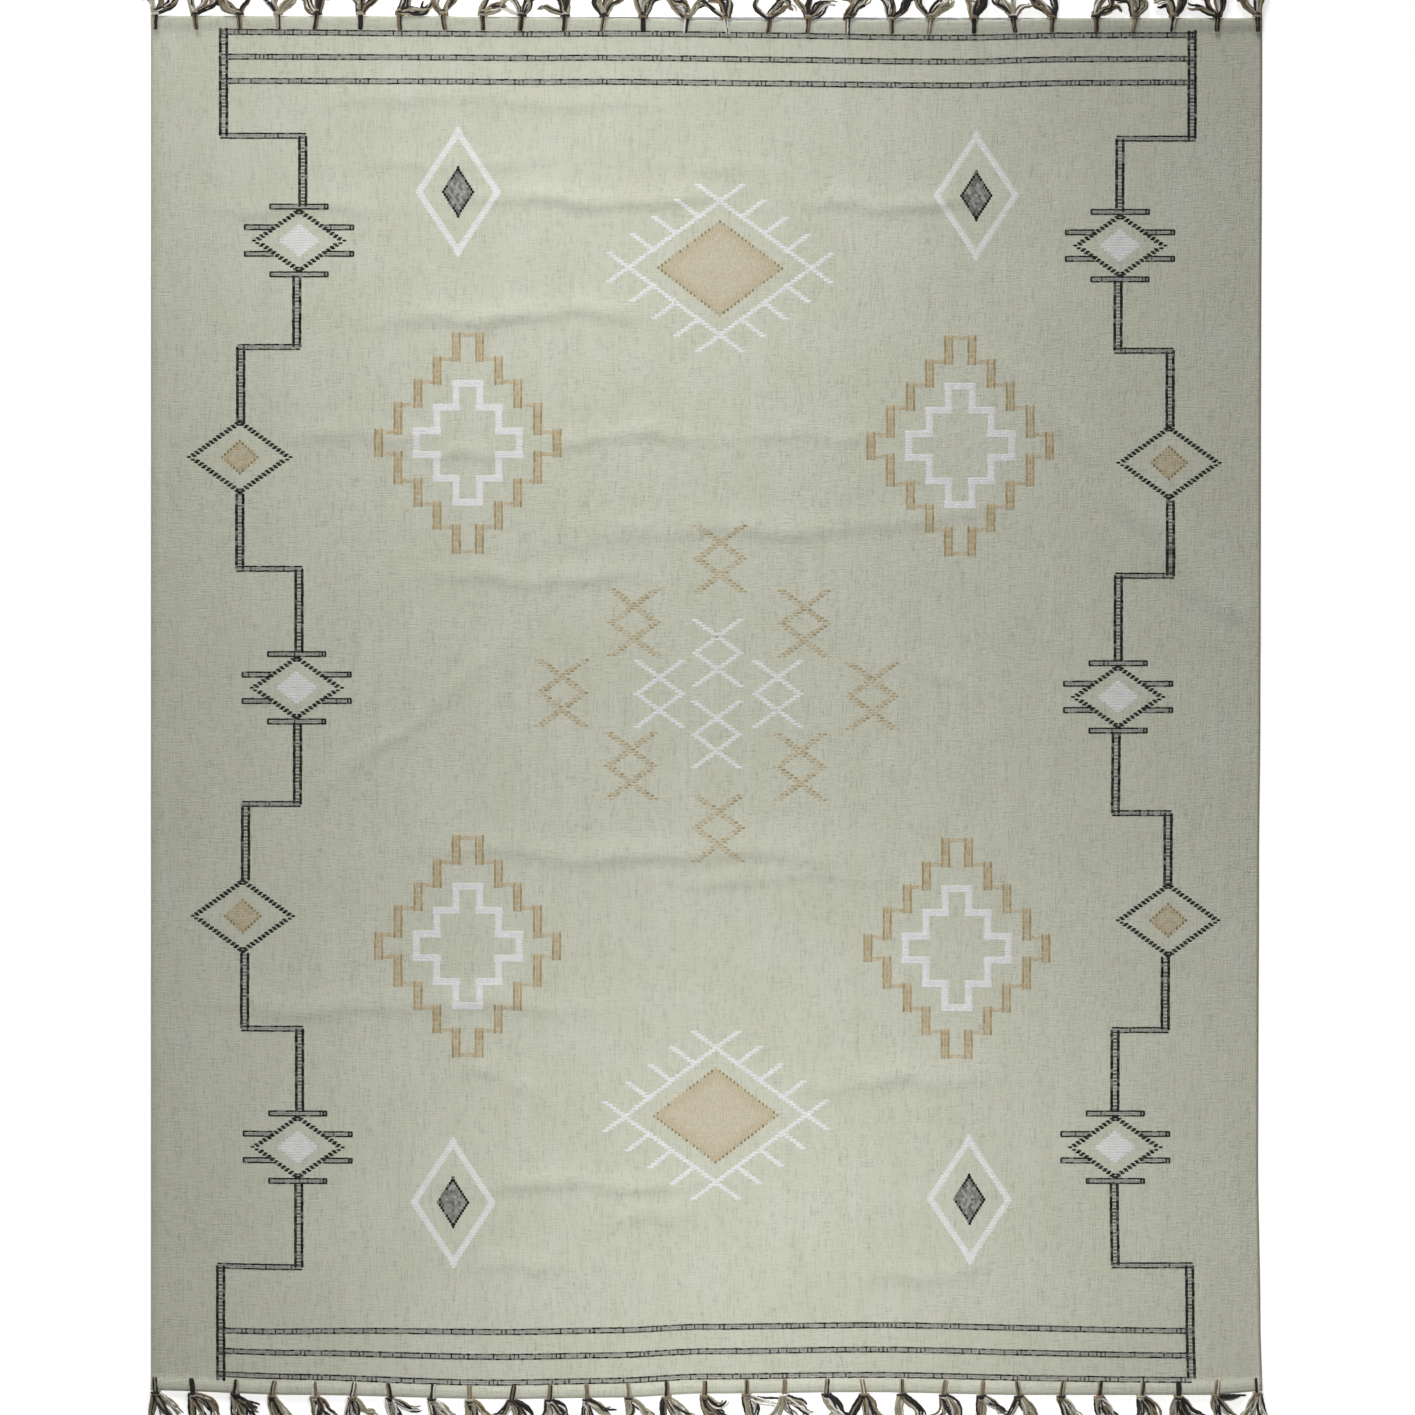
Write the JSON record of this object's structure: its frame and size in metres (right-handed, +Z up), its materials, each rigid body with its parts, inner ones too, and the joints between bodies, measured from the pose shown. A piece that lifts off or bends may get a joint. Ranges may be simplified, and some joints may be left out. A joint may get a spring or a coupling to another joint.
{
  "type": "flatweave rug",
  "caption": "Rectangular flatweave rug lying flat, with hemmed ends, woven lozenge and stepped border figures, and knotted yarn tassels along both ends.",
  "frame": {"origin": "middle of the rug on the floor", "axes": "+Z up from the floor, +Y along the length towards the far end, +X across the width"},
  "size_m": [2.44, 3.2184, 0.011],
  "materials": {
    "cloth": "flat woven, matt",
    "tassel_yarn": "mixed spun yarn, matt"
  },
  "bodies": {
    "root": {"cloth": "cloth", "tassel_far_01": "tassel_yarn", "tassel_far_02": "tassel_yarn", "tassel_far_03": "tassel_yarn", "tassel_far_04": "tassel_yarn", "tassel_far_05": "tassel_yarn", "tassel_far_06": "tassel_yarn", "tassel_far_07": "tassel_yarn", "tassel_far_08": "tassel_yarn", "tassel_far_09": "tassel_yarn", "tassel_far_10": "tassel_yarn", "tassel_far_11": "tassel_yarn", "tassel_far_12": "tassel_yarn", "tassel_far_13": "tassel_yarn", "tassel_far_14": "tassel_yarn", "tassel_far_15": "tassel_yarn", "tassel_far_16": "tassel_yarn", "tassel_far_17": "tassel_yarn", "tassel_far_18": "tassel_yarn", "tassel_far_19": "tassel_yarn", "tassel_far_20": "tassel_yarn", "tassel_far_21": "tassel_yarn", "tassel_far_22": "tassel_yarn", "tassel_far_23": "tassel_yarn", "tassel_far_24": "tassel_yarn", "tassel_far_25": "tassel_yarn", "tassel_far_26": "tassel_yarn", "tassel_far_27": "tassel_yarn", "tassel_far_28": "tassel_yarn", "tassel_near_01": "tassel_yarn", "tassel_near_02": "tassel_yarn", "tassel_near_03": "tassel_yarn", "tassel_near_04": "tassel_yarn", "tassel_near_05": "tassel_yarn", "tassel_near_06": "tassel_yarn", "tassel_near_07": "tassel_yarn", "tassel_near_08": "tassel_yarn", "tassel_near_09": "tassel_yarn", "tassel_near_10": "tassel_yarn", "tassel_near_11": "tassel_yarn", "tassel_near_12": "tassel_yarn", "tassel_near_13": "tassel_yarn", "tassel_near_14": "tassel_yarn", "tassel_near_15": "tassel_yarn", "tassel_near_16": "tassel_yarn", "tassel_near_17": "tassel_yarn", "tassel_near_18": "tassel_yarn", "tassel_near_19": "tassel_yarn", "tassel_near_20": "tassel_yarn", "tassel_near_21": "tassel_yarn", "tassel_near_22": "tassel_yarn", "tassel_near_23": "tassel_yarn", "tassel_near_24": "tassel_yarn", "tassel_near_25": "tassel_yarn", "tassel_near_26": "tassel_yarn", "tassel_near_27": "tassel_yarn", "tassel_near_28": "tassel_yarn", "tassel_near_29": "tassel_yarn"}
  },
  "joints": []
}
